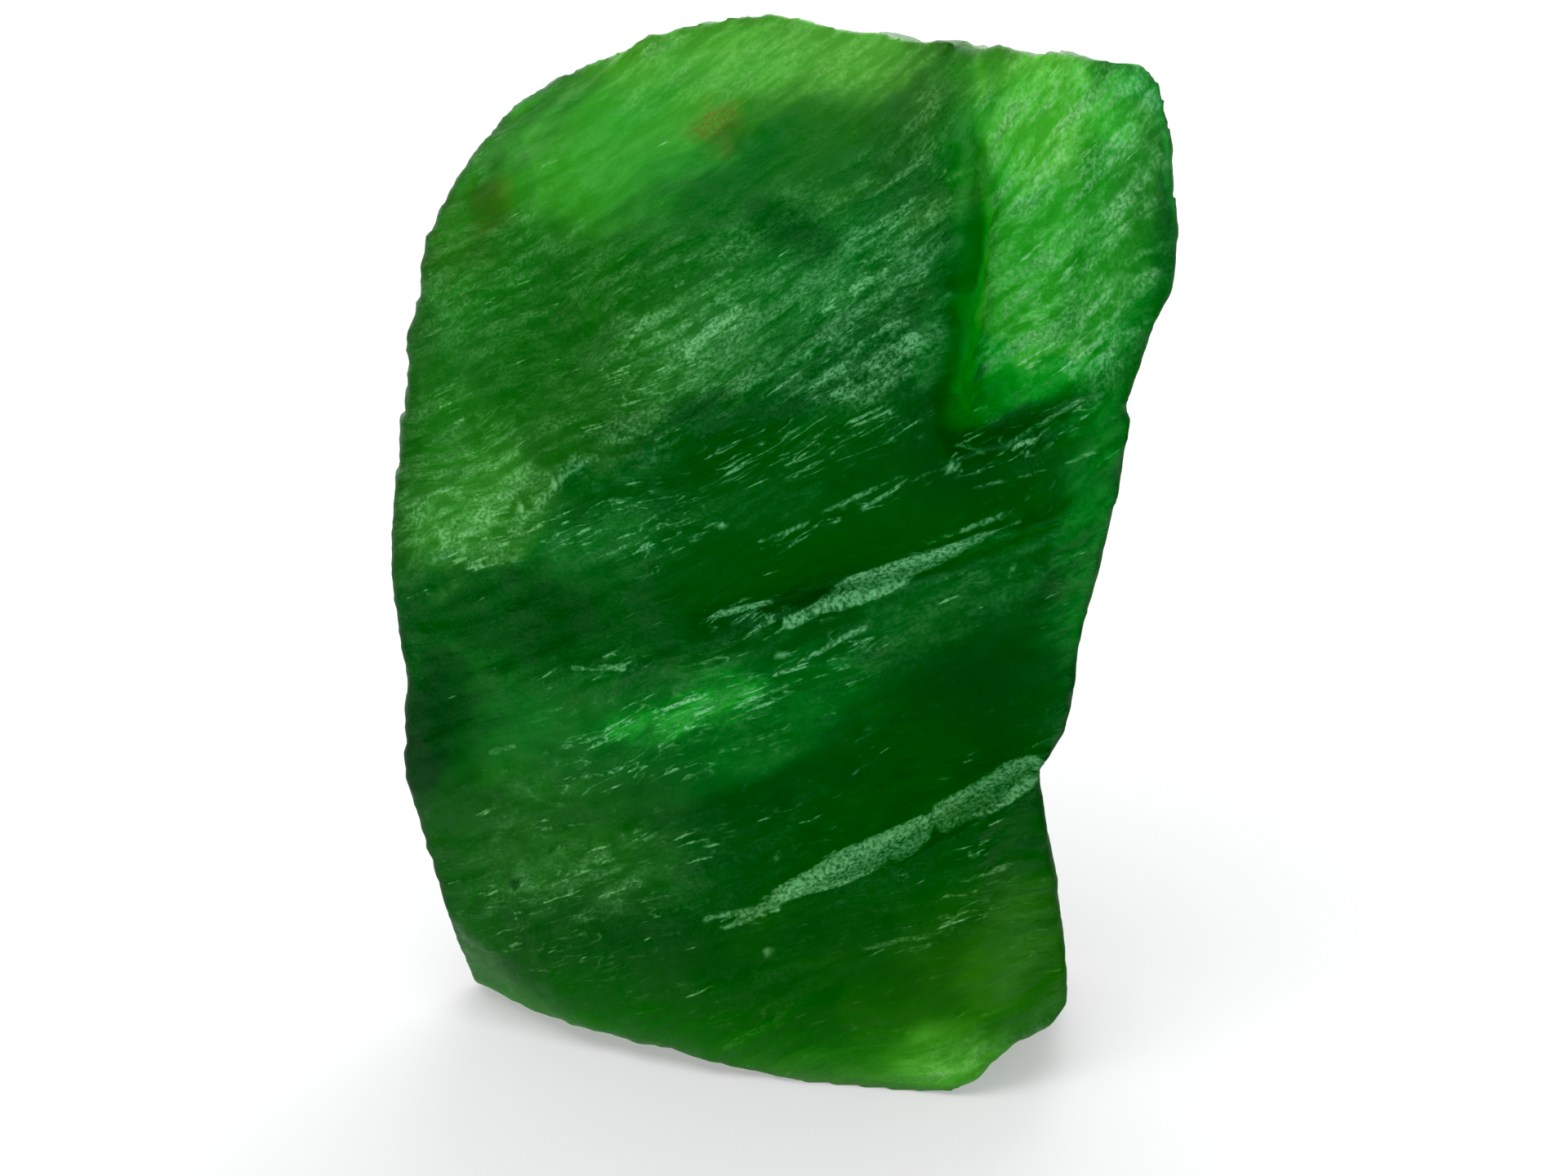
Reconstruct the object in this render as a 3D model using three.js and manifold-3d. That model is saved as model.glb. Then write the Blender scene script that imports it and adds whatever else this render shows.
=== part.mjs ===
// A piece of rough green fluorite, broken along its cleavages, standing on a flat break.
// Millimetres, +Z up. The broad face looks along -Y. The origin is under the middle of the piece.
import * as THREE from "three";
import { mergeVertices } from "three/addons/utils/BufferGeometryUtils.js";
import Module from "manifold-3d";

const wasm = await Module();
wasm.setup();

// Driving dimensions.
const sightAngle = 20; // degrees: the outline is the shape seen from this far above level
const noseDepth = -11; // y of the foot of the broad face, where the outline's height is zero
const domeSegments = 3; // straight runs between two points of the dome
const blankDepth = 120; // length of the blank that the outline is extruded into
const reach = 200; // side of a cutting block, larger than the piece whichever way it is turned

// The outline seen along the sight line, [across, up], anticlockwise from the foot of the nose.
const noseOutline = [
  [6.4, 0], [10, 0.3], [11.9, 1.7], [13.6, 3.4], [15.8, 4.1], [16.7, 5.5],
];
const rightOutline = [
  [15.7, 12.9], [14.7, 19.1], [16.3, 21.3], [17, 27.3], [18.9, 34.3], [19.7, 38.7],
  [19.4, 39.7], [20.2, 42], [21.7, 46.6], [22.8, 52.8], [21.5, 57.6], [20.2, 58.7],
];
const topOutline = [
  [15.4, 58.9], [7.4, 60.4], [2.3, 61.3], [1.7, 61.6],
];
const domeOutline = [
  [-1.1, 62], [-5.1, 61.4], [-10.6, 59.3], [-15.3, 57], [-18.3, 53.1], [-20.3, 49.1],
];
const leftOutline = [
  [-20.5, 46.4], [-21.5, 44.2], [-21.4, 42], [-22, 37.4], [-22.3, 30.3],
  [-21.7, 24.4], [-22, 18.8], [-20, 10.8], [-18.4, 5.9],
];
const footOutline = [
  [-16.9, 5.4], [-16.1, 4.7], [-9.1, 3], [-1.8, 1.3], [2.2, 0.4],
];

// Breaks that run right across the piece. Each is a point on the break and the way it faces.
const breaks = {
  base: { at: [0, 0, 0], facing: [0, 0, -1] },
  lowerFront: { at: [5, -11.8, 10], facing: [0.02, -1, -0.03] },
  lowerTurn: { at: [0, -11.6, 12], facing: [-0.5, -1, -0.1] },
  keel: { at: [-4, -10.7, 25], facing: [-0.2, -1, -0.1] },
  lowerLeft: { at: [-15.2, -6, 34], facing: [-0.5, -1, -0.08] },
  upperLeft: { at: [-15.2, -6, 34], facing: [-0.77, -1, 0.35] },
  upperFront: { at: [-5.8, -10, 42], facing: [-0.2, -1, 0.6] },
  shoulder: { at: [6, -11.9, 43.8], facing: [0.22, -1, 0.38] },
  leftFoot: { at: [-13, -3, 1.4], facing: [-0.6, -0.6, -0.52] },
  topLeft: { at: [-15, 0.6, 53], facing: [-0.6, -0.62, 0.66] },
  topFront: { at: [-2, -0.8, 58.8], facing: [-0.08, -0.66, 0.75] },
  rightFront: { at: [12, -11.2, 26], facing: [0.52, -1, 0.02] },
  back: { at: [0, 13, 20], facing: [0.05, 1, 0.08] },
  backUpperLeft: { at: [-12, 9.8, 44], facing: [-0.4, 0.9, 0.3] },
  backLeft: { at: [-18, 9.5, 20], facing: [-0.8, 0.65, -0.02] },
  backRightFoot: { at: [14, 9, 12], facing: [0.7, 0.72, 0.05] },
  backDome: { at: [-9, 5.4, 57.6], facing: [-0.25, 0.5, 0.83] },
  backLeftRim: { at: [-21.9, 3.6, 36], facing: [-0.88, 0.46, 0.1] },
  heel: { at: [0, 14.2, 1.6], facing: [0.12, 0.8, -0.58] },
  backTop: { at: [0, 8.6, 56], facing: [0.05, 0.75, 0.55] },
};

// Bites: each takes away what lies beyond all of its breaks at once, and leaves a step.
const bites = {
  upperLayer: [
    { at: [1.7, -11.7, 43.4], facing: [0.16, -1, -0.187] },
    { at: [5, -10.6, 30.9], facing: [-0.16, -0.5, 0.85] },
  ],
  middleLayer: [
    { at: [5, -10.6, 29], facing: [0.12, -1, -0.105] },
    { at: [5.4, -11.7, 14.2], facing: [-0.455, -0.3, 0.86] },
  ],
  wing: [
    { at: [14, -5.6, 48], facing: [0.12, -1, 0.2] },
    { at: [9.8, -8.6, 45], facing: [0.95, -0.32, -0.05] },
    { at: [14, -7, 40.5], facing: [-0.1, -0.55, 0.8] },
  ],
  wingEdge: [
    { at: [18.3, -5.2, 50], facing: [0.6, -0.8, 0.12] },
    { at: [16, -6, 40.5], facing: [-0.1, -0.4, 0.9] },
  ],
  wingBack: [
    { at: [14, 2.4, 48], facing: [0.05, 1, 0.08] },
    { at: [7.6, 8, 45], facing: [0.9, 0.45, 0.1] },
    { at: [14, 6, 36], facing: [0.1, 0.55, 0.82] },
  ],
  backRight: [
    { at: [16, 2, 24], facing: [0.8, 0.6, -0.2] },
    { at: [12, 8, 22], facing: [-0.1, 0.4, 0.9] },
  ],
  backChip: [
    { at: [6, 12.4, 12], facing: [0.3, 0.94, -0.12] },
    { at: [4, 12, 17], facing: [-0.28, 0.3, -0.9] },
  ],
  backShelf: [
    { at: [-6, 8.6, 50], facing: [-0.16, 0.9, 0.26] },
    { at: [-4, 10, 45.5], facing: [0.34, 0.3, 0.88] },
  ],
  leftChip: [
    { at: [-20, 5, 14], facing: [-0.8, 0.55, -0.1] },
    { at: [-20, 3, 22], facing: [-0.2, 0.25, -0.94] },
  ],
  backStep: [
    { at: [-4, 10.4, 30], facing: [-0.12, 1, 0.05] },
    { at: [-2, 12, 22], facing: [-0.35, 0.3, 0.88] },
    { at: [4, 11, 36], facing: [-0.9, 0.4, 0.2] },
  ],
};

// The closed solid of a three.js geometry.
function solidFrom(geometry) {
  const bare = geometry.index ? geometry.toNonIndexed() : geometry.clone();
  bare.deleteAttribute("normal");
  bare.deleteAttribute("uv");
  const merged = mergeVertices(bare, 1e-4);
  return new wasm.Manifold(
    new wasm.Mesh({
      numProp: 3,
      vertProperties: merged.attributes.position.array,
      triVerts: new Uint32Array(merged.index.array),
    }),
  );
}

// The three.js geometry of a solid, flat shaded.
function geometryFrom(solid) {
  const mesh = solid.getMesh();
  const indexed = new THREE.BufferGeometry();
  indexed.setAttribute("position", new THREE.BufferAttribute(mesh.vertProperties, 3));
  indexed.setIndex(new THREE.BufferAttribute(mesh.triVerts, 1));
  const flat = indexed.toNonIndexed();
  flat.computeVertexNormals();
  return flat;
}

// The outline extruded along the sight line, both ways from the foot of the nose.
function makeBlank() {
  const shape = new THREE.Shape();
  const corners = [...noseOutline, ...rightOutline, ...topOutline, domeOutline[0]];
  shape.moveTo(...corners[0]);
  for (const corner of corners.slice(1)) shape.lineTo(...corner);
  shape.splineThru(domeOutline.slice(1).map(([across, up]) => new THREE.Vector2(across, up)));
  for (const corner of [...leftOutline, ...footOutline]) shape.lineTo(...corner);
  const geometry = new THREE.ExtrudeGeometry(shape, {
    depth: blankDepth,
    curveSegments: domeSegments,
    bevelEnabled: false,
  });
  geometry.translate(0, 0, -blankDepth / 2);
  geometry.rotateX(THREE.MathUtils.degToRad(90 - sightAngle));
  geometry.translate(0, noseDepth, 0);
  return solidFrom(geometry);
}

// A block that fills all space beyond a break.
function beyond({ at, facing }) {
  const geometry = new THREE.BoxGeometry(reach, reach, reach);
  geometry.translate(0, 0, reach / 2);
  const turn = new THREE.Quaternion().setFromUnitVectors(
    new THREE.Vector3(0, 0, 1),
    new THREE.Vector3(...facing).normalize(),
  );
  geometry.applyQuaternion(turn);
  geometry.translate(...at);
  return solidFrom(geometry);
}

// The stone with the corner beyond all of these breaks taken off.
function chip(stone, planes) {
  const waste = planes.map(beyond).reduce((both, block) => both.intersect(block));
  return stone.subtract(waste);
}

function makeStone() {
  let stone = makeBlank();
  for (const plane of Object.values(breaks)) stone = chip(stone, [plane]);
  for (const planes of Object.values(bites)) stone = chip(stone, planes);
  return geometryFrom(stone);
}

const fluorite = new THREE.Mesh(
  makeStone(),
  new THREE.MeshStandardMaterial({ color: 0x1f7a26, roughness: 0.35, metalness: 0 }),
);
fluorite.name = "fluorite";

// The origin goes to the middle of the box's underside.
fluorite.geometry.computeBoundingBox();
const box = fluorite.geometry.boundingBox;
const middle = box.getCenter(new THREE.Vector3());
fluorite.position.set(-middle.x, -middle.y, -box.min.z);

const part = new THREE.Group();
part.add(fluorite);

export default part;
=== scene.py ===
import math

import bpy
import numpy as np
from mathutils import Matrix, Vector, noise


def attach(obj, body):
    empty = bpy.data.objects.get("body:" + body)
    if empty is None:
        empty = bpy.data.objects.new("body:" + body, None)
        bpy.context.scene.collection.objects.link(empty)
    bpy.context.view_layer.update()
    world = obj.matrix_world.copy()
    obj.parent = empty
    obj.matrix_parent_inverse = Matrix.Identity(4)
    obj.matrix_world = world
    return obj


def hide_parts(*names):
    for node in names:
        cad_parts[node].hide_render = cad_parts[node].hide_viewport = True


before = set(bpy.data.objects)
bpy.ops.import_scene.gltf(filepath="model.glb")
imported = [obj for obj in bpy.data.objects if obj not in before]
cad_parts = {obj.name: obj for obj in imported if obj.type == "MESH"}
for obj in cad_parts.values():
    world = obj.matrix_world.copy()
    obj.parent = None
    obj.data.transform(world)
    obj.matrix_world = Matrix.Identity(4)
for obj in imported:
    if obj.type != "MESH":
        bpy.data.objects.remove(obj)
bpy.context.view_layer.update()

mm = 0.001
print("frame loaded:", ", ".join(sorted(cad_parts)))


def linearColour(hexCode):
    # sRGB hex to the linear values that sockets take
    channels = [int(hexCode[i:i + 2], 16) / 255 for i in (1, 3, 5)]
    linear = [c / 12.92 if c <= 0.04045 else ((c + 0.055) / 1.055) ** 2.4 for c in channels]
    return (*linear, 1.0)


def addNode(tree, kind, settings=None, sockets=None):
    # one node with its settings; a socket takes a value, or a link from another node's output
    node = tree.nodes.new("ShaderNode" + kind)
    for name, value in (settings or {}).items():
        setattr(node, name, value)
    for name, value in (sockets or {}).items():
        if isinstance(value, bpy.types.NodeSocket):
            tree.links.new(value, node.inputs[name])
        else:
            node.inputs[name].default_value = value
    return node


def newMaterial(name):
    material = bpy.data.materials.new(name)
    material.use_nodes = True
    material.node_tree.nodes.clear()
    return material, material.node_tree


def deselectAll():
    bpy.ops.object.select_all(action="DESELECT")


def makeActive(piece):
    deselectAll()
    piece.select_set(True)
    bpy.context.view_layer.objects.active = piece


def smoothStep(low, high, value):
    t = np.clip((value - low) / (high - low), 0.0, 1.0)
    return t * t * (3.0 - 2.0 * t)


cameraView = {
    "lens": 110,            # mm on a 36 mm sensor
    "elevation": 20,        # degrees above level, looking along +Y
    "distance": 281.8 * mm,
    "clip": (10 * mm, 100),
    "aim": (0.18 * mm, 0, 26.88 * mm),
}


def makeCamera(view):
    tilt = math.radians(view["elevation"])
    back = Vector((0, -math.cos(tilt), math.sin(tilt)))
    bpy.ops.object.camera_add(location=Vector(view["aim"]) + back * view["distance"])
    camera = bpy.context.object
    camera.rotation_euler = (math.pi / 2 - tilt, 0, 0)
    camera.data.lens = view["lens"]
    camera.data.clip_start, camera.data.clip_end = view["clip"]
    bpy.context.scene.camera = camera


deselectAll()
makeCamera(cameraView)
print("camera placed")


# Lengths are in millimetres. Where something comes in gradually, a pair says where it begins and is full.
stoneFacts = {
    "voxel": 0.33,          # how fine the mesh is
    "stands": (0.05, 1.2),  # height over which the relief comes in, so that the stone still stands flat
    "soften": {"light": 3, "heavy": 45},    # times that the points are evened out
    "swell": {"size": 9.0, "depth": 0.28, "seed": 5.0, "octaves": 2},
    "pits": {"size": 2.4, "depth": 0.12, "seed": 9.0, "octaves": 3},
    # edges are drawn out crisp, and chipped here and there
    "wear": {"reach": 8, "crisp": 0.55, "depth": 0.9, "size": 1.5, "seed": 14.0, "chips": (-0.3, 0.6)},
    "full": 0.12,           # how far the surface stands out from the CAD piece
    "calm": 0.75,           # share of the steps that the calm places lose
    "calmBehind": 0.5,      # how calm the material is away from the front
    "calmRim": 0.8,         # share of the steps that the front's rim loses, so that its outline stays
    "behind": 1.6,          # how much deeper the relief is away from the front
    # which way faces look, by their normals, and how far they lie into the stone or out to its sides
    "facing": {
        "front": (0.25, -0.05),
        "sideways": (0.45, 0.80), "upward": (0.70, 0.95),
        "fade": 0.75, "fadeDepth": (-6.0, 0.0),
        "rim": (0.45, 0.15),
        # painted shade: the left and right edges of the front darker where they turn aside
        "edge": (0.50, 0.90), "edgeFrom": (11.0, 13.0), "edgeShade": 0.4,
    },
    # the cleavage layers rise to the right, more steeply towards the top, and fall towards the back
    "layers": {
        "slope": 0.42, "bendFrom": 34.0, "bend": 0.017, "tilt": 0.36,
        "wave": 0.8, "waveSize": 9.0, "seed": 71.0,
    },
    "wander": {"size": 1.3, "stretch": (0.35, 0.6, 1.0), "depth": 0.7, "seed": 31.0},   # ragged edges
    "patches": {"size": 4.0, "stretch": (0.5, 0.6, 1.0), "seed": 83.0},
    # staircases of ledges, each in patches: the pitch from ledge to ledge, and the lip's share of it
    "steps": [
        {"pitch": 3.4, "rise": 0.28, "lip": 0.10, "patch": 7.0, "seed": 3.1},
        {"pitch": 1.5, "rise": 0.17, "lip": 0.18, "patch": 5.0, "seed": 11.7},
        {"pitch": 0.9, "rise": 0.09, "lip": 0.30, "patch": 4.0, "seed": 23.4},
        {
            "pitch": 1.6, "rise": 0.36, "lip": 0.30, "patch": 2.5, "seed": 51.2,
            "lean": 0.40, "place": "hackly",
        },
        {"pitch": 1.1, "rise": 0.16, "lip": 0.35, "patch": 2.5, "seed": 57.9, "place": "wing"},
    ],
    # how unevenly they run, and where they are broken off
    "broken": {
        "jitter": 0.35, "jitterSize": 2.5, "patches": (-0.15, 0.35), "patchSeed": 40.0, "edge": 0.05,
    },
    # x and z of the crooked edge between the frosted upper face, paler with a painted sheen, and the clear
    # lower one
    "ridge": (
        (-23.0, 27.6), (-21.0, 28.5), (-16.0, 30.3), (-13.5, 33.2), (-11.4, 37.2),
        (-7.6, 39.6), (-4.6, 41.9), (0.0, 42.4), (8.3, 43.0), (23.0, 42.0),
    ),
    "ridgeEdge": {"height": (-1.2, 1.6), "wander": 2.5},
    # thin frost all over and in patches, and above the ridge a painted sheen that makes the upper face
    # paler; less of it in calm and shaded places
    "veilAndSheen": {"thin": 0.10, "above": 0.40, "patchy": 0.14, "patches": (0.0, 0.6), "calm": 0.8, "shade": 0.7},
    "splintered": {"patchy": 0.35, "patches": (-0.1, 0.6), "ledges": 0.7, "shade": 0.8},
    "cloudAndGlowInShade": 0.8,      # share of the clouds and their painted glow that shaded places lose
    # yellower green: the top and the foot, a little in patches, on the left and on the wing
    "warmth": {
        "drift": 4.0, "top": (50.0, 60.0), "topAcross": (21.0, 15.0),
        "foot": (19.0, 2.0), "footSlope": 0.25,
        "patches": (0.1, 0.9), "patchy": 0.15,
        "aboveAcross": (4.0, -14.0), "above": 0.6,
        "leftAcross": (2.0, -12.0), "leftUnder": (22.0, 14.0), "left": 0.5,
        "wing": 0.35,
    },
    # painted glints: bright points, and x and z of each
    "sparkle": {"size": (0.32, 0.05), "wander": 0.1},
    "sparkles": ((-12.6, 36.3), (-14.6, 34.6), (-3.3, 35.2), (0.0, 27.6), (-0.7, 8.6), (9.4, 38.2)),
    # Each place is a stretch of the front: x and z of its one end and of its other, half its width, its
    # soft edge, its share of the effect and, where that isn't the usual, how ragged it is.
    "raggedness": {"usual": 0.5, "least": 0.15},
    "places": {
        "blunt": [
            ((-23.0, 4.0), (-23.0, 46.0), 2.0, 3.0, 0.4),  # left rim
            ((-18.0, 3.0), (-4.0, 1.0), 1.0, 3.0, 0.8),  # lower left
            ((-12.0, 38.0), (-6.0, 58.0), 1.0, 4.0, 1.0),
            ((-3.0, 2.0), (-3.0, 26.0), 1.0, 4.0, 1.0),
            ((-4.6, 26.0), (-5.6, 44.0), 1.5, 3.0, 1.0),
            ((9.8, 40.0), (10.4, 60.0), 1.3, 1.3, 1.0),  # wing's wall
        ],
        "calm": [
            ((-7.0, 35.0), (12.0, 38.0), 1.5, 3.0, 0.8),
            ((9.0, 22.5), (12.0, 29.0), 3.0, 3.0, 1.0),
            ((2.0, 5.0), (13.0, 8.0), 2.5, 3.0, 0.6),
            ((10.0, 43.0), (10.4, 57.0), 0.6, 0.8, 0.8),
            ((-19.0, 14.0), (-18.0, 24.0), 1.5, 2.0, 0.8),
            ((-16.0, 51.0), (7.0, 59.5), 2.8, 3.0, 0.9),
            ((-16.0, 20.0), (-11.0, 22.0), 1.5, 3.0, 0.7),
            ((-10.0, 17.6), (3.0, 21.4), 0.8, 2.0, 0.65),
            ((-14.0, 9.0), (-2.0, 5.0), 1.5, 3.0, 0.25),
        ],
        "hackly": [
            ((3.0, 43.0), (8.0, 51.5), 1.5, 2.0, 1.0),
        ],
        "wing": [
            ((14.0, 44.0), (18.0, 58.0), 4.0, 2.0, 1.0),
        ],
        # added to how far the surface stands out, in millimetres
        "fill": [
            ((10.0, 41.0), (10.6, 55.0), 0.2, 1.3, 0.6),  # wing's wall
            ((21.5, 46.0), (22.0, 56.0), 0.6, 1.5, 0.2),  # wing's edge
        ],
        # ledges and thin cracks along the layers: frost, and a painted sheen where light catches them
        "frostAndSheen": [
            ((-2.4, 10.7), (2.0, 13.0), 0.18, 0.5, 0.68, 0.6),
            ((-0.4, 12.0), (8.5, 16.7), 0.39, 0.5, 0.95, 0.4),
            ((8.8, 16.9), (14.8, 20.1), 0.55, 0.6, 0.72, 0.5),
            ((-4.4, 10.5), (-0.6, 11.7), 0.05, 0.35, 0.75, 0.6),
            ((-3.4, 10.0), (0.4, 11.6), 0.05, 0.35, 0.8, 0.6),
            ((0.2, 29.4), (4.6, 31.1), 0.16, 0.45, 0.95, 0.6),
            ((2.6, 30.3), (10.2, 33.2), 0.29, 0.5, 0.95, 0.5),
            ((9.0, 32.8), (13.8, 34.7), 0.18, 0.5, 0.72, 0.8),
            ((9.2, 33.8), (12.6, 35.0), 0.0, 0.4, 0.7, 0.5),
            ((-3.6, 29.7), (-0.4, 30.2), 0.05, 0.35, 0.9, 0.4),
            ((-0.4, 26.3), (4.7, 29.1), 0.0, 0.35, 0.9, 0.8),
            ((-1.3, 34.1), (1.6, 35.1), 0.05, 0.35, 0.9, 0.5),
            ((2.0, 35.5), (6.8, 37.9), 0.0, 0.38, 0.8, 0.8),
            ((6.8, 37.2), (8.6, 38.1), 0.0, 0.35, 0.8, 0.5),
            ((8.6, 39.3), (11.4, 38.7), 0.0, 0.35, 0.65, 0.1),
            ((12.6, 39.0), (17.0, 41.2), 0.0, 0.35, 0.7, 0.2),
            ((10.6, 36.7), (17.8, 38.6), 0.0, 0.35, 0.7, 0.5),
            ((-2.6, 21.6), (0.6, 23.2), 0.0, 0.35, 0.8, 0.5),
            ((-17.0, 18.6), (-15.4, 19.3), 0.05, 0.4, 0.6, 0.9),
            ((-12.2, 18.0), (-9.6, 19.0), 0.0, 0.38, 0.7, 0.6),
            ((3.2, 8.8), (12.8, 12.0), 0.0, 0.38, 0.55, 0.8),
            ((4.8, 12.5), (13.6, 14.9), 0.0, 0.38, 0.6, 1.0),
            ((-11.8, 25.2), (-9.0, 25.7), 0.0, 0.45, 0.9, 0.4),
            ((-9.2, 43.6), (-7.4, 46.2), 0.0, 0.38, 0.7, 0.5),
            ((-5.2, 44.4), (-2.6, 46.8), 0.1, 0.6, 0.8, 1.0),
            ((-11.6, 38.0), (-7.2, 40.4), 0.0, 0.4, 0.7, 0.8),
            ((-14.6, 34.0), (-11.8, 37.2), 0.0, 0.4, 0.7, 0.9),
            ((4.0, 48.0), (5.8, 49.2), 0.0, 0.45, 0.9, 0.8),
            ((-0.8, 43.4), (4.2, 47.8), 0.0, 0.36, 0.6, 1.0),
            ((4.6, 46.0), (8.8, 50.6), 0.0, 0.36, 0.65, 1.0),
            ((5.4, 50.4), (9.2, 54.2), 0.0, 0.4, 0.65, 1.0),
            ((-3.4, 42.0), (2.6, 45.6), 0.0, 0.36, 0.6, 1.0),
        ],
        # thinly frosted patches, partly painted highlight, as along the ridge, on the shoulder and at the
        # top rims
        "bloomAndHighlight": [
            ((-20.6, 32.0), (-15.4, 36.8), 0.8, 3.4, 0.9),  # left shoulder
            ((2.2, 43.4), (7.0, 46.0), 1.2, 1.6, 1.0),  # by the wing
            ((4.0, 50.6), (9.0, 53.6), 0.8, 1.8, 0.8),
            ((-9.0, 43.6), (-1.6, 47.6), 0.9, 2.4, 0.65),
            ((-19.0, 44.0), (-12.0, 48.0), 2.0, 3.5, 0.75),
            ((-12.0, 37.5), (-6.0, 40.6), 0.6, 2.4, 0.45),
            ((-9.0, 40.6), (-1.0, 43.6), 0.3, 1.0, 0.7),
            ((-16.0, 32.0), (-12.6, 35.8), 0.3, 1.2, 0.8),  # along the ridge
            ((-12.4, 36.6), (-7.8, 40.4), 0.1, 0.9, 0.8),
            ((-9.0, 57.6), (7.2, 59.8), 1.0, 2.5, 0.35),  # top rim
            ((18.0, 42.0), (20.4, 58.0), 1.4, 1.6, 0.9),  # wing's right part
            ((12.2, 54.6), (16.8, 58.4), 1.2, 1.8, 0.65),  # top of the wing
            ((12.4, 43.0), (15.6, 55.0), 1.5, 2.0, 0.24),  # middle of the wing
            ((-9.0, 21.6), (-1.0, 25.6), 0.1, 1.2, 0.25),  # in the bright cloud
            ((-12.0, 12.0), (4.0, 16.0), 1.0, 3.0, 0.2),
            ((-17.0, 9.0), (-9.0, 12.0), 1.0, 3.0, 0.45),
            ((9.0, 1.8), (11.2, 3.2), 0.4, 2.0, 0.55),  # nose
            ((-14.0, 31.6), (-5.0, 35.6), 0.8, 2.0, 0.24),  # under the ridge
            ((4.0, 27.5), (14.4, 32.4), 1.0, 2.6, 0.3),
            ((-5.0, 35.6), (1.4, 37.0), 0.8, 1.8, 0.25),
        ],
        "splinters": [
            ((-12.0, 20.5), (5.4, 28.6), 0.6, 1.6, 0.75),  # under the ledge
            ((-14.0, 17.2), (-4.0, 21.6), 0.7, 1.4, 0.9),
            ((-11.0, 20.6), (-1.0, 25.4), 0.2, 0.8, 1.0),
            ((-10.0, 25.6), (-7.0, 26.4), 0.1, 0.6, 1.0),
            ((-4.0, 29.6), (0.5, 30.0), 0.3, 0.9, 1.0),
            ((-1.0, 33.6), (8.5, 37.6), 0.2, 0.9, 1.0),  # above the ledge
            ((-12.0, 33.5), (-4.0, 36.5), 1.2, 2.0, 0.8),
            ((-4.0, 38.6), (8.0, 41.5), 1.0, 1.5, 0.9),
            ((9.0, 37.6), (18.0, 41.6), 0.5, 1.2, 0.9),
            ((1.0, 43.0), (8.0, 51.0), 2.0, 2.0, 0.6),
            ((-18.0, 31.0), (-13.0, 36.0), 1.5, 2.0, 0.9),
            ((-12.0, 40.0), (-2.0, 46.5), 1.0, 2.0, 0.8),
            ((14.0, 43.0), (20.0, 57.0), 2.0, 2.5, 0.6),  # wing
            ((-13.0, 11.0), (-7.0, 14.3), 0.1, 0.5, 1.0),
            ((-9.0, 14.5), (0.0, 17.0), 0.8, 1.5, 0.6),
            ((3.0, 8.6), (12.8, 12.6), 0.4, 1.2, 0.6),  # lowest
            ((-12.0, 5.6), (4.0, 4.0), 0.4, 1.6, 0.5),
            ((-17.0, 7.0), (-8.0, 11.0), 2.0, 3.0, 0.9),
            ((-19.0, 38.0), (-10.0, 48.0), 2.5, 3.0, 0.6),
        ],
        # painted glow: a lighter, more diffuse green where light comes through the thin wing, the nose, the
        # shoulder and the top rim, and in the wing's wall, where it lightens the crease; the same places
        # are milky and let less light through
        "cloudAndGlow": [
            ((-9.0, 21.8), (-1.6, 25.6), 0.3, 2.2, 0.95),
            ((-15.0, 18.6), (3.0, 25.5), 1.6, 4.5, 0.38),
            ((-14.0, 12.0), (-8.0, 14.0), 1.0, 6.0, 0.2),
            ((-19.4, 32.4), (-15.8, 36.2), 0.6, 3.2, 0.45),  # left shoulder
            ((8.4, 1.6), (11.2, 3.0), 0.4, 3.2, 0.8),  # nose
            ((12.6, 53.0), (16.0, 59.5), 1.8, 2.0, 1.0),  # wing
            ((12.6, 43.0), (14.0, 56.0), 2.2, 2.4, 0.8),
            ((9.8, 41.0), (17.5, 43.4), 0.8, 1.2, 0.7),
            ((18.2, 44.0), (19.6, 56.0), 1.4, 1.6, 0.45),
            ((17.6, 58.0), (20.6, 56.4), 1.6, 1.4, 0.9),
            ((10.1, 46.0), (11.0, 59.0), 0.6, 0.6, 0.55),
            ((9.7, 41.2), (10.8, 50.0), 0.35, 0.9, 0.7),  # wing's wall
            ((-13.5, 52.0), (-4.0, 57.5), 1.2, 4.0, 0.6),
            ((-9.0, 58.6), (7.0, 60.6), 0.8, 3.0, 0.62),  # top rim
            ((17.0, 27.0), (18.0, 40.0), 0.5, 3.0, 0.5),
            ((11.8, 6.5), (13.8, 12.0), 0.8, 2.5, 0.24),
            ((-7.0, 43.6), (7.0, 51.0), 1.0, 3.5, 0.25),  # by the wing
            ((8.0, 43.6), (9.0, 48.0), 0.4, 1.0, 0.35),
            ((5.0, 29.0), (14.4, 33.0), 0.6, 2.6, 0.18),
            ((-16.0, 31.0), (-8.0, 34.0), 0.6, 2.5, 0.22),
        ],
        # painted shade: darker green in the wing's wall and under its foot, under the shoulder and the
        # ridge, in a pit and along the wing's edge; the other rows darken the green in patches and along
        # the lower edges
        "shade": [
            ((9.7, 48.0), (9.8, 62.0), 0.9, 0.4, 0.42),  # wing's wall
            ((8.4, 41.0), (9.2, 50.0), 0.3, 0.6, 0.2),
            ((12.0, 39.4), (19.0, 42.4), 0.1, 0.9, 0.6),  # wing's foot
            ((-1.0, 51.4), (2.4, 50.4), 0.4, 1.6, 0.7),
            ((-21.5, 16.0), (-19.0, 24.0), 0.8, 2.0, 1.0),
            ((-19.0, 27.0), (-12.0, 28.6), 1.8, 3.0, 0.85),  # under the shoulder
            ((-14.0, 7.0), (3.0, 3.0), 3.0, 4.5, 0.55),
            ((-14.0, 18.0), (-4.0, 18.0), 1.0, 3.0, 0.25),
            ((-19.0, 42.0), (-13.0, 48.0), 2.5, 4.0, 0.45),
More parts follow.
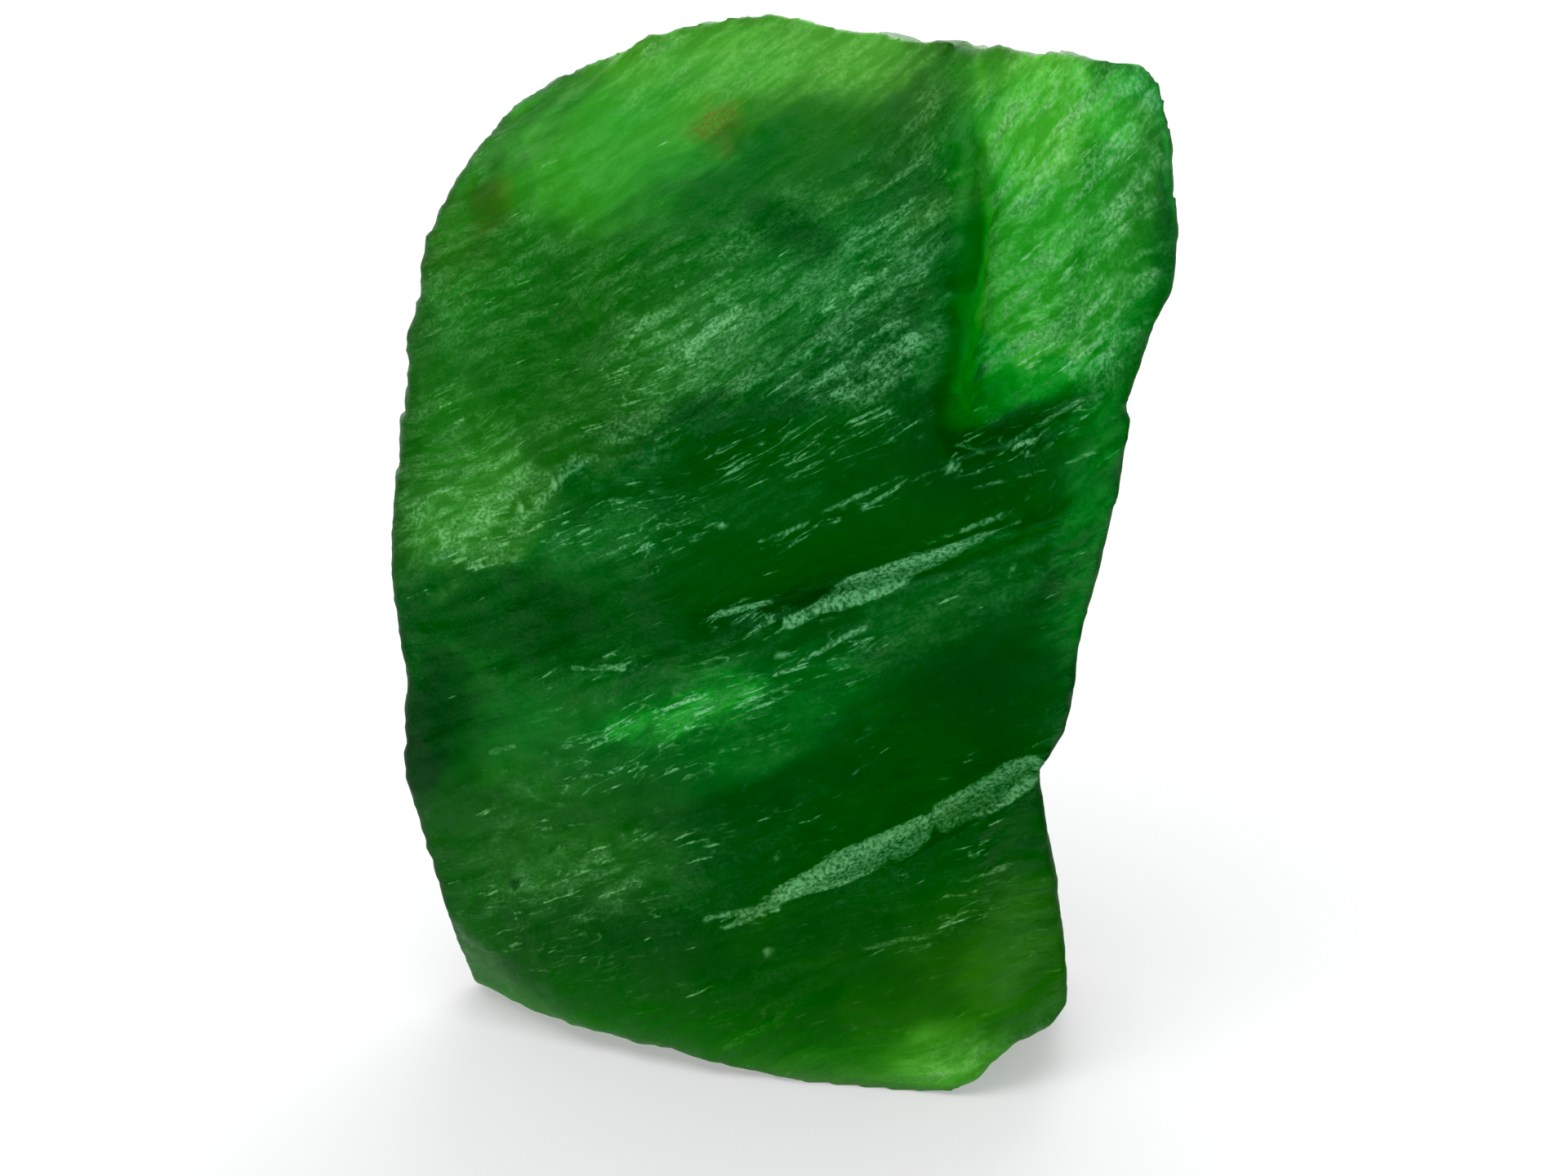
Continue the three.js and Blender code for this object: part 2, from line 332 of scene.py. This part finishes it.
            ((-15.8, 10.2), (-15.6, 10.3), 0.05, 0.4, 1.0),  # a pit
            ((-3.0, 42.4), (-6.0, 41.4), 0.2, 0.8, 0.6),  # under the ridge
            ((0.0, 9.0), (6.0, 11.0), 0.5, 2.0, 0.4),
            ((1.0, 6.0), (7.0, 7.4), 0.8, 2.6, 0.3),
            ((-16.0, 4.5), (3.0, 0.5), 0.8, 1.6, 0.6),  # lower edge
            ((21.2, 48.0), (21.8, 58.0), 0.1, 0.7, 0.4),  # wing's edge
            ((2.0, 0.0), (10.8, 0.0), 0.3, 0.7, 0.7),  # nose's edge
        ],
        "stain": [
            ((-3.9, 55.6), (-3.1, 56.0), 0.4, 1.8, 0.9),
            ((-16.9, 49.6), (-16.3, 51.2), 0.5, 1.8, 0.7),
            ((-19.0, 47.0), (-17.0, 50.0), 0.8, 2.5, 0.3),
        ],
    },
    "look": {
        "colours": {
            "deep": "#129330", "leaf": "#56a41c",           # the stone, and where it is yellower
            "cloudAndGlow": "#1ccf26", "warmCloudAndGlow": "#68d83a",     # painted glow where light comes up through it, on milky cloud
            "pale": "#7ad18e", "warmPale": "#8cd076",       # its frost, and the painted sheen on it
            # the colour of the painted shade, of darker patches and of the dark seams
            "shade": "#0a5218",
            "rust": "#8a4a18",
        },
        "through": "#00e400",   # the light that the stone lets through
        "density": 383.0,       # how fast it takes the rest, per metre
        "ior": 1.434,
        "tint": "#9cf2af",      # of its reflections
        # The patterns follow the layers: the size of their lumps along, into and across them. The grain of
        # real splinters is finer, and is drawn as coarse as it needs to show.
        "patterns": {
            "streaks": {"size": (4.5, 3.0, 0.80), "detail": 2.0, "rough": 0.50, "bend": 0.4},
            "fibres": {"size": (4.5, 2.5, 0.80), "detail": 2.0, "rough": 0.50, "bend": 0.1},
            "flecks": {"size": (3.2, 1.8, 0.36), "detail": 2.0, "rough": 0.50, "bend": 0.15},
            "hackle": {"size": (1.3, 1.2, 0.65), "detail": 5.0, "rough": 0.66, "bend": 0.15},
            "grain": {"size": (0.24, 0.24, 0.20), "detail": 3.0, "rough": 0.65, "bend": 0.0},
        },
        # from which to which value of its pattern or mask each effect comes in, and how strong it gets
        "ranges": {
            "lines": {"From Min": 0.465, "From Max": 0.50, "To Max": 0.54},
            "gaps": {"From Min": 0.42, "From Max": 0.58},       # in the lines
            "flecks": {"From Min": 0.73, "From Max": 0.82, "To Max": 0.54},
            "speckled": {"From Min": 0.34, "From Max": 0.66, "To Min": 0.35, "To Max": 1.5},
            "patchy": {"From Min": 0.41, "From Max": 0.61, "To Min": 0.09, "To Max": 0.52},     # thin frost and painted sheen
            "mottled": {"From Min": 0.34, "From Max": 0.66, "To Min": 0.22, "To Max": 0.92},    # ledges
            "ledges": {"From Min": 0.60, "From Max": 0.94},     # their ragged outline
            "turned": {"To Min": 1.0, "To Max": 0.35},          # less frost and painted sheen on faces that turn aside
            "steady": {"To Min": 0.60, "To Max": 0.85},         # evener clouds and painted glow in calm places
            "drift": {"From Min": 0.40, "From Max": 0.58},
            "seams": {"From Min": 0.52, "From Max": 0.66, "To Max": 0.45},      # dark, along the layers
            "lively": {"To Min": 1.0, "To Max": 0.0},           # no seams in calm places
            "whitened": {"From Max": 0.5},
            "blotches": {"From Min": 0.35, "From Max": 0.60, "To Min": 0.2, "To Max": 0.8},     # of rust
            "matt": {"To Min": 0.52, "To Max": 0.70},           # roughness, bare and frosted
            "relief": {"To Min": 1.0, "To Max": 0.30},          # less of it in calm places
        },
        "crowding": 0.18,       # how many more flecks there are where it is splintered
        "raggedLedges": 0.5,
        "roughSideways": 0.30,
        "clear": 0.97,          # how see-through the bare stone is, and what takes that away
        "losses": {"frostAndSheen": 0.75, "cloudAndGlow": 0.55, "warm": 0.10},
        "depths": {"streaks": 0.12, "hackle": 0.16, "flecks": 0.06, "grain": 0.04},     # of the bumps
    },
}


mergeWithin = 0.002 * mm


def copyOfNode(nodeName, pieceName):
    # the CAD node's own mesh stays as it is; its copy is merged and worked on
    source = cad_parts[nodeName]
    piece = bpy.data.objects.new(pieceName, source.data.copy())
    bpy.context.scene.collection.objects.link(piece)
    makeActive(piece)
    bpy.ops.object.mode_set(mode="EDIT")
    bpy.ops.mesh.select_all(action="SELECT")
    bpy.ops.mesh.remove_doubles(threshold=mergeWithin)
    bpy.ops.mesh.normals_make_consistent(inside=False)
    bpy.ops.object.mode_set(mode="OBJECT")
    return piece


def remeshFine(piece, voxel):
    remesh = piece.modifiers.new("fine", "REMESH")
    remesh.mode = "VOXEL"
    remesh.voxel_size = voxel * mm
    remesh.use_smooth_shade = True
    bpy.ops.object.modifier_apply(modifier=remesh.name)


def readPoints(piece):
    # vertex places and normals, in millimetres
    count = len(piece.data.vertices)
    places, normals = np.empty(count * 3), np.empty(count * 3)
    piece.data.vertices.foreach_get("co", places)
    piece.data.vertices.foreach_get("normal", normals)
    return places.reshape(-1, 3) / mm, normals.reshape(-1, 3)


def writePoints(piece, places):
    piece.data.vertices.foreach_set("co", (places * mm).ravel())
    piece.data.update()


def noiseAt(places, size, seed, octaves=3):
    # soft fractal noise of about -1 to 1, whose lumps are size across; a seed moves to another part of it
    offset = Vector((seed, seed * 1.7, seed * 0.6))
    values = [noise.fractal(Vector(p) / size + offset, 1.0, 2.0, octaves) for p in places.tolist()]
    return np.array(values)


def neighbourMean(piece, values, times):
    # each vertex's values evened out with its neighbours', a number of times over
    edges = np.empty(len(piece.data.edges) * 2, dtype=np.int64)
    piece.data.edges.foreach_get("vertices", edges)
    a, b = edges.reshape(-1, 2).T
    count = len(values)
    degree = np.bincount(a, minlength=count) + np.bincount(b, minlength=count)
    mean = values.copy()
    for _ in range(times):
        total = np.empty_like(mean)
        for axis in range(3):
            near = np.bincount(a, mean[b, axis], count) + np.bincount(b, mean[a, axis], count)
            total[:, axis] = near / degree
        mean = total
    return mean


def softened(piece, places, times):
    # evened out without shrinking: what the evening took away is evened out too and given back
    mean = neighbourMean(piece, places, times)
    return mean + neighbourMean(piece, places - mean, times)


def layerPlaces(places, facts):
    # each point's place along, into and across the cleavage layers
    x, y, z = places.T
    slope = facts["slope"] + facts["bend"] * np.clip(z - facts["bendFrom"], 0.0, None)
    height = (z + facts["tilt"] * y - slope * x) / math.hypot(1.0, facts["slope"])
    height += noiseAt(places, facts["waveSize"], facts["seed"], 2) * facts["wave"]
    along = (x + facts["slope"] * z) / math.hypot(1.0, facts["slope"])
    return np.stack((along, y, height), axis=1)


def placeMask(places, wander, stretches, raggedness):
    # 1 inside the stretches, which taper to their ends, fading to 0 over their soft edge
    flat = places[:, (0, 2)]
    mask = np.zeros(len(places))
    for start, end, width, soft, share, *ragged in stretches:
        line = np.subtract(end, start)
        along = np.clip(((flat - start) @ line) / (line @ line), 0.0, 1.0)
        gap = np.linalg.norm(flat - start - along[:, None] * line, axis=1)
        gap += wander * (soft + raggedness["least"]) * (ragged[0] if ragged else raggedness["usual"])
        tapered = width * (4.0 * along * (1.0 - along)) ** 0.25
        mask = np.maximum(mask, share * (1.0 - smoothStep(0.0, soft, gap - tapered)))
    return mask


def stepRelief(layers, steps, facts):
    # a staircase of cleavage layers: each tread leans out to a lip, and a short ledge sets it back
    pitch, lip, seed = steps["pitch"], steps["lip"], steps["seed"]
    jitter = noiseAt(layers, pitch * facts["jitterSize"], seed, 2) * pitch * facts["jitter"]
    height = layers[:, 2] - steps.get("lean", 0.0) * layers[:, 0] + jitter
    part = np.mod(height / pitch, 1.0)
    ledge = 1.0 - lip
    tread = np.where(part < ledge, part / ledge, (1.0 - part) / lip)
    share = smoothStep(*facts["patches"], noiseAt(layers, steps["patch"], seed + facts["patchSeed"], 2))
    broken = smoothStep(ledge - facts["edge"], ledge + facts["edge"], part)
    return (tread - 0.5) * steps["rise"], broken, share


# the masks that the material reads, each stored on the stone's points
materialMasks = (
    "frostAndSheen", "splinters", "cloudAndGlow", "shade", "stain", "calm", "veilAndSheen", "warm", "sideways", "sparkle",
)


def storeMask(piece, name, values):
    layer = piece.data.attributes.new(name, "FLOAT", "POINT")
    layer.data.foreach_set("value", values.astype(np.float32))


def softenStone(piece, facts):
    # the cut planes run into each other softly, most of all at the blunt places
    places = readPoints(piece)[0]
    lightly = softened(piece, places, facts["soften"]["light"])
    heavily = softened(piece, lightly, facts["soften"]["heavy"])
    blunt = placeMask(places, np.zeros(len(places)), facts["places"]["blunt"], facts["raggedness"])
    standing = smoothStep(*facts["stands"], places[:, 2])
    softer = lightly + (heavily - lightly) * blunt[:, None]
    writePoints(piece, places + (softer - places) * standing[:, None])


def sortFaces(places, normals, facing):
    # the front, the faces turned aside or up, the rim that draws the outline, and the painted shade along
    # the two side edges
    turned, into, up = np.abs(normals[:, 0]), normals[:, 1], normals[:, 2]
    front = smoothStep(*facing["front"], into)
    sideways = np.maximum(smoothStep(*facing["sideways"], turned), smoothStep(*facing["upward"], up))
    sideways *= 1.0 - facing["fade"] * smoothStep(*facing["fadeDepth"], places[:, 1])
    rim = sideways * smoothStep(*facing["rim"], into)
    edge = smoothStep(*facing["edge"], turned) * smoothStep(*facing["edgeFrom"], np.abs(places[:, 0]))
    return front, sideways, rim, edge * front * facing["edgeShade"]


def lessened(values, mask, share):
    # the values, less a share of them where the mask is
    return values * (1.0 - share * mask)


def addMaterialMasks(masks, places, layers, wander, broken, facts):
    # what only the material reads
    x, y, z = places.T
    ridgeX, ridgeZ = np.array(facts["ridge"]).T
    uneven = facts["patches"]
    patches = noiseAt(layers * uneven["stretch"], uneven["size"], uneven["seed"], 2)
    ragged = wander * facts["ridgeEdge"]["wander"]
    above = smoothStep(*facts["ridgeEdge"]["height"], z - np.interp(x, ridgeX, ridgeZ) + ragged)
    shade = masks["shade"]

    veilAndSheen = facts["veilAndSheen"]
    withFrostAndSheen = veilAndSheen["thin"] + veilAndSheen["above"] * above + veilAndSheen["patchy"] * smoothStep(*veilAndSheen["patches"], patches)
    withFrostAndSheen = np.maximum(lessened(withFrostAndSheen, masks["calm"], veilAndSheen["calm"]), masks["bloomAndHighlight"])
    masks["veilAndSheen"] = lessened(withFrostAndSheen, shade, veilAndSheen["shade"])
    splintered = facts["splintered"]
    scattered = smoothStep(*splintered["patches"], patches) * splintered["patchy"]
    crowded = np.maximum.reduce((masks["splinters"], scattered, broken * splintered["ledges"]))
    masks["splinters"] = lessened(crowded, shade, splintered["shade"])
    masks["cloudAndGlow"] = lessened(masks["cloudAndGlow"], shade, facts["cloudAndGlowInShade"])

    warmth = facts["warmth"]
    drift = patches * warmth["drift"]
    left = smoothStep(*warmth["leftAcross"], x) * smoothStep(*warmth["leftUnder"], z)
    masks["warm"] = np.maximum.reduce((
        smoothStep(*warmth["top"], z + drift) * smoothStep(*warmth["topAcross"], x),
        smoothStep(*warmth["foot"], z - warmth["footSlope"] * x + drift),
        smoothStep(*warmth["patches"], patches) * warmth["patchy"],
        above * smoothStep(*warmth["aboveAcross"], x) * warmth["above"],
        left * warmth["left"],
        masks["wing"] * warmth["wing"],
    ))
    nearest = np.min([np.hypot(x - spotX, z - spotZ) for spotX, spotZ in facts["sparkles"]], axis=0)
    masks["sparkle"] = smoothStep(*facts["sparkle"]["size"], nearest + wander * facts["sparkle"]["wander"])


def carveStone(piece, facts):
    # the stone's relief, and the masks that its material reads
    places, normals = readPoints(piece)
    layers = layerPlaces(places, facts["layers"])
    front, sideways, rim, edgeShade = sortFaces(places, normals, facts["facing"])
    uneven = facts["wander"]
    wander = noiseAt(layers * uneven["stretch"], uneven["size"], uneven["seed"], 3) * uneven["depth"]
    masks = {}
    for name, stretches in facts["places"].items():
        masks[name] = placeMask(places, wander, stretches, facts["raggedness"]) * front
    masks["shade"] = np.maximum(masks["shade"], edgeShade)
    keep = lessened(lessened(1.0, masks["calm"], facts["calm"]), rim, facts["calmRim"])
    deeper = 1.0 + facts["behind"] * (1.0 - front) * (1.0 - rim)

    move = np.zeros(len(places))
    for bumps in (facts["swell"], facts["pits"]):
        move += noiseAt(places, bumps["size"], bumps["seed"], bumps["octaves"]) * bumps["depth"]
    broken = np.zeros(len(places))
    for steps in facts["steps"]:
        relief, ledges, share = stepRelief(layers, steps, facts["broken"])
        if "place" in steps:
            share = share * masks[steps["place"]]
        move += relief * share * keep
        broken = np.maximum(broken, ledges * share * keep)
    move *= deeper
    wear = facts["wear"]
    edges = ((places - neighbourMean(piece, places, wear["reach"])) * normals).sum(axis=1)
    chips = smoothStep(*wear["chips"], noiseAt(places, wear["size"], wear["seed"], 2))
    move += np.clip(edges, 0.0, None) * (wear["crisp"] - wear["depth"] * chips * deeper)
    move += facts["full"] + masks["fill"]
    standing = smoothStep(*facts["stands"], places[:, 2])
    writePoints(piece, places + normals * (move * standing)[:, None])

    masks["calm"] = np.maximum(masks["calm"], facts["calmBehind"] * (1.0 - front))
    masks["sideways"] = sideways * front
    addMaterialMasks(masks, places, layers, wander, broken, facts)
    masks["sparkle"] *= front
    for name in materialMasks:
        storeMask(piece, name, masks[name])
    store = piece.data.attributes.new("layers", "FLOAT_VECTOR", "POINT")
    store.data.foreach_set("vector", layers.astype(np.float32).ravel())


stone = copyOfNode("fluorite", "rough_fluorite")
remeshFine(stone, stoneFacts["voxel"])
softenStone(stone, stoneFacts)
carveStone(stone, stoneFacts)
print("stone carved:", len(stone.data.vertices), "vertices")


# settings that many nodes share
smooth = {"interpolation_type": "SMOOTHSTEP"}
inColour = {"data_type": "RGBA"}
times = {"operation": "MULTIPLY"}
timesPlus = {"operation": "MULTIPLY_ADD"}
larger = {"operation": "MAXIMUM"}


def addPatterns(tree, layers, patterns):
    # noise drawn out along the cleavage layers
    made = {}
    for name, facts in patterns.items():
        scale = [1 / length for length in facts["size"]]
        sized = addNode(tree, "Mapping", None, {"Vector": layers, "Scale": scale})
        made[name] = addNode(tree, "TexNoise", None, {
            "Vector": sized.outputs["Vector"], "Scale": 1.0,
            "Detail": facts["detail"], "Roughness": facts["rough"], "Distortion": facts["bend"],
        }).outputs["Fac"]
    brushed = addNode(tree, "Mix", {"data_type": "FLOAT"}, {
        "Factor": 0.5, 2: made["hackle"], 3: made["streaks"],
    })
    made["brushed"] = brushed.outputs[0]
    return made


def addFrostAndSheen(tree, masks, patterns, look):
    # splinters: thin pale fibres and short flecks, thickest where the mask is
    ranges = look["ranges"]
    crest = addNode(tree, "Math", {"operation": "PINGPONG"}, {0: patterns["fibres"], 1: 0.5})
    lines = addNode(tree, "MapRange", smooth, {"Value": crest.outputs[0], **ranges["lines"]})
    gaps = addNode(tree, "MapRange", smooth, {"Value": patterns["hackle"], **ranges["gaps"]})
    thinned = addNode(tree, "Math", times, {0: lines.outputs["Result"], 1: gaps.outputs["Result"]})
    fibres = addNode(tree, "Math", times, {0: thinned.outputs[0], 1: masks["splinters"]})
    crowd = addNode(tree, "Math", timesPlus, {
        0: masks["splinters"], 1: look["crowding"], 2: patterns["flecks"],
    })
    flecks = addNode(tree, "MapRange", smooth, {"Value": crowd.outputs[0], **ranges["flecks"]})
    whole = addNode(tree, "Math", larger, {0: fibres.outputs[0], 1: flecks.outputs["Result"]})
    speckled = addNode(tree, "MapRange", smooth, {"Value": patterns["grain"], **ranges["speckled"]})
    strokes = addNode(tree, "Math", times, {0: whole.outputs[0], 1: speckled.outputs["Result"]})

    # a thin frost in patches all over, and a thick mottled one along the ledges, both with a painted sheen
    patchy = addNode(tree, "MapRange", smooth, {"Value": patterns["brushed"], **ranges["patchy"]})
    mottled = addNode(tree, "MapRange", smooth, {"Value": patterns["grain"], **ranges["mottled"]})
    patches = addNode(tree, "Math", times, {0: patchy.outputs["Result"], 1: speckled.outputs["Result"]})
    veilAndSheen = addNode(tree, "Math", times, {0: masks["veilAndSheen"], 1: patches.outputs[0]})
    ragged = addNode(tree, "Math", timesPlus, {
        0: patterns["hackle"], 1: look["raggedLedges"], 2: masks["frostAndSheen"],
    })
    edged = addNode(tree, "MapRange", smooth, {"Value": ragged.outputs[0], **ranges["ledges"]})
    filled = addNode(tree, "Math", times, {0: edged.outputs["Result"], 1: masks["frostAndSheen"]})
    bands = addNode(tree, "Math", times, {0: filled.outputs[0], 1: mottled.outputs["Result"]})
    withFrostAndSheen = addNode(tree, "Math", larger, {0: veilAndSheen.outputs[0], 1: bands.outputs[0]})
    broken = addNode(tree, "Math", larger, {0: strokes.outputs[0], 1: withFrostAndSheen.outputs[0]})
    turned = addNode(tree, "MapRange", None, {"Value": masks["sideways"], **ranges["turned"]})
    facing = addNode(tree, "Math", times, {0: broken.outputs[0], 1: turned.outputs["Result"]})
    return addNode(tree, "Math", larger, {0: facing.outputs[0], 1: masks["sparkle"]}).outputs[0]


def addCloudAndGlow(tree, masks, patterns, ranges):
    # the milky clouds and their painted glow drift along the layers, less so where the stone is calm
    steady = addNode(tree, "MapRange", None, {"Value": masks["calm"], **ranges["steady"]})
    drift = addNode(tree, "MapRange", smooth, {
        "Value": patterns["brushed"], "To Min": steady.outputs["Result"], **ranges["drift"],
    })
    return addNode(tree, "Math", times, {0: masks["cloudAndGlow"], 1: drift.outputs["Result"]}).outputs[0]


def addStoneColour(tree, masks, patterns, cloudAndGlow, pale, look):
    # deep green, yellower at the top and the foot, with milky clouds and their painted glow, painted shade
    # and dark seams, frost with its painted sheen, and rust stains
    ranges, warm = look["ranges"], masks["warm"]
    colours = {name: linearColour(hexCode) for name, hexCode in look["colours"].items()}
    fresh = addNode(tree, "Mix", inColour, {"Factor": warm, 6: colours["deep"], 7: colours["leaf"]})
    glow = addNode(tree, "Mix", inColour, {"Factor": warm, 6: colours["cloudAndGlow"], 7: colours["warmCloudAndGlow"]})
    cloudedAndGlowing = addNode(tree, "Mix", inColour, {"Factor": cloudAndGlow, 6: fresh.outputs[2], 7: glow.outputs[2]})
    seams = addNode(tree, "MapRange", smooth, {"Value": patterns["streaks"], **ranges["seams"]})
    lively = addNode(tree, "MapRange", None, {"Value": masks["calm"], **ranges["lively"]})
    seamed = addNode(tree, "Math", times, {0: seams.outputs["Result"], 1: lively.outputs["Result"]})
    dark = addNode(tree, "Math", larger, {0: masks["shade"], 1: seamed.outputs[0]})
    shaded = addNode(tree, "Mix", inColour, {
        "Factor": dark.outputs[0], 6: cloudedAndGlowing.outputs[2], 7: colours["shade"],
    })
    frostAndSheen = addNode(tree, "Mix", inColour, {"Factor": warm, 6: colours["pale"], 7: colours["warmPale"]})
    whitened = addNode(tree, "MapRange", None, {"Value": pale, **ranges["whitened"]})
    withFrostAndSheen = addNode(tree, "Mix", inColour, {
        "Factor": whitened.outputs["Result"], 6: shaded.outputs[2], 7: frostAndSheen.outputs[2],
    })
    blotches = addNode(tree, "MapRange", smooth, {"Value": patterns["grain"], **ranges["blotches"]})
    rust = addNode(tree, "Math", times, {0: masks["stain"], 1: blotches.outputs["Result"]})
    stained = addNode(tree, "Mix", inColour, {
        "Factor": rust.outputs[0], 6: withFrostAndSheen.outputs[2], 7: colours["rust"],
    })
    return stained.outputs[2]


def makeFluorite(look):
    # Rough green fluorite, split along its cleavage: see-through and glowing where it is thin, with a
    # painted glow there too, deep green where it is thick, streaked along its layers, frosted where it
    # splintered, and with painted shade, sheen and glints.
    material, tree = newMaterial("green_fluorite_rough")
    layers = addNode(tree, "Attribute", {"attribute_name": "layers"}).outputs["Vector"]
    masks = {}
    for name in materialMasks:
        masks[name] = addNode(tree, "Attribute", {"attribute_name": name}).outputs["Fac"]
    patterns = addPatterns(tree, layers, look["patterns"])
    pale = addFrostAndSheen(tree, masks, patterns, look)
    cloudAndGlow = addCloudAndGlow(tree, masks, patterns, look["ranges"])
    colour = addStoneColour(tree, masks, patterns, cloudAndGlow, pale, look)

    # frost with its painted sheen, and clouds with their painted glow, hold the light back, and warm zones
    # a little
    clear = look["clear"]
    for name, mask in (("frostAndSheen", pale), ("cloudAndGlow", cloudAndGlow), ("warm", masks["warm"])):
        clear = addNode(tree, "Math", {**timesPlus, "use_clamp": True}, {
            0: mask, 1: -look["losses"][name], 2: clear,
        }).outputs[0]
    matt = addNode(tree, "MapRange", None, {"Value": pale, **look["ranges"]["matt"]})
    rough = addNode(tree, "Math", {**timesPlus, "use_clamp": True}, {
        0: masks["sideways"], 1: look["roughSideways"], 2: matt.outputs["Result"],
    })

    # relief: streaks along the layers, hackle between them, strokes and a fine grain
    strength = addNode(tree, "MapRange", None, {"Value": masks["calm"], **look["ranges"]["relief"]})
    relief = None
    for name, depth in look["depths"].items():
        sockets = {"Height": patterns[name], "Strength": strength.outputs["Result"], "Distance": depth * mm}
        if relief:
            sockets["Normal"] = relief
        relief = addNode(tree, "Bump", None, sockets).outputs["Normal"]

    surface = addNode(tree, "BsdfPrincipled", None, {
        "Base Color": colour,
        "Roughness": rough.outputs[0],
        "Transmission Weight": clear,
        "Normal": relief,
        "IOR": look["ior"],
        "Specular Tint": linearColour(look["tint"]),
    })
    absorb = addNode(tree, "VolumeAbsorption", None, {
        "Color": linearColour(look["through"]), "Density": look["density"],
    })
    addNode(tree, "OutputMaterial", None, {
        "Surface": surface.outputs["BSDF"], "Volume": absorb.outputs["Volume"],
    })
    return material


stone.data.materials.clear()
stone.data.materials.append(makeFluorite(stoneFacts["look"]))
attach(stone, "root")
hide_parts("fluorite")
print("stone finished")


floorFacts = {"size": 6.0, "colour": "#bcbcbd", "rough": 0.9, "gloss": 0.2, "glow": 0.38}


def makeFloor(facts):
    deselectAll()
    bpy.ops.mesh.primitive_plane_add(size=facts["size"], location=(0, 0, 0))
    floor = bpy.context.object
    floor.name = "floor"
    # matt white acrylic lit from below, which keeps the shadows light
    material, tree = newMaterial("matte_white_light_table")
    sheet = addNode(tree, "BsdfPrincipled", None, {
        "Base Color": linearColour(facts["colour"]),
        "Roughness": facts["rough"],
        "Specular IOR Level": facts["gloss"],
        "Emission Color": (1, 1, 1, 1),
        "Emission Strength": facts["glow"],
    })
    addNode(tree, "OutputMaterial", None, {"Surface": sheet.outputs["BSDF"]})
    floor.data.materials.append(material)


makeFloor(floorFacts)


lightFacts = {
    "room": 0.36,
    "wall": 2.6,            # the far wall, and between which values of the direction it comes in and ends
    "wallBegins": {"From Min": 0.1, "From Max": 0.8},
    "wallEnds": {"From Min": 0.35, "From Max": 0.75, "To Min": 1.0, "To Max": 0.0},
    "key": {"at": (-70, -150, 345), "size": 260, "power": 0.85},
    "back": {"at": (40, 300, 260), "size": 260, "power": 0.8},
    "aim": (0, 0, 30),
    "blacks": 0.012,
}


def makeAreaLight(name, facts, aim):
    at = Vector(facts["at"]) * mm
    deselectAll()
    bpy.ops.object.light_add(type="AREA", location=at)
    lamp = bpy.context.object
    lamp.name = name
    lamp.data.size = facts["size"] * mm
    lamp.data.energy = facts["power"]
    lamp.rotation_euler = (Vector(aim) * mm - at).to_track_quat("-Z", "Y").to_euler()


def makeWorld(facts):
    # a white room: its far wall is lit brightly, and the rest of it is dim
    world = bpy.data.worlds.new("white_room")
    bpy.context.scene.world = world
    world.use_nodes = True
    tree = world.node_tree
    tree.nodes.clear()
    toward = addNode(tree, "TexCoord").outputs["Generated"]
    split = addNode(tree, "SeparateXYZ", None, {"Vector": toward})
    far = addNode(tree, "MapRange", smooth, {
        "Value": split.outputs["Y"], **facts["wallBegins"],
        "To Min": facts["room"], "To Max": facts["wall"],
    })
    low = addNode(tree, "MapRange", smooth, {"Value": split.outputs["Z"], **facts["wallEnds"]})
    strength = addNode(tree, "Mix", {"data_type": "FLOAT"}, {
        "Factor": low.outputs["Result"], 2: facts["room"], 3: far.outputs["Result"],
    })
    seen = addNode(tree, "LightPath")
    shade = addNode(tree, "Background", None, {"Color": (1, 1, 1, 1), "Strength": strength.outputs[0]})
    white = addNode(tree, "Background", None, {"Color": (1, 1, 1, 1), "Strength": 1.0})
    mix = addNode(tree, "MixShader", None, {
        "Fac": seen.outputs["Is Camera Ray"],
        1: shade.outputs["Background"], 2: white.outputs["Background"],
    })
    addNode(tree, "OutputWorld", None, {"Surface": mix.outputs["Shader"]})


makeWorld(lightFacts)
makeAreaLight("key", lightFacts["key"], lightFacts["aim"])
makeAreaLight("back", lightFacts["back"], lightFacts["aim"])
view = bpy.context.scene.view_settings
view.view_transform = "Standard"
view.use_curve_mapping = True
view.curve_mapping.black_level = [lightFacts["blacks"]] * 3
view.curve_mapping.update()
print("floor and lights placed")
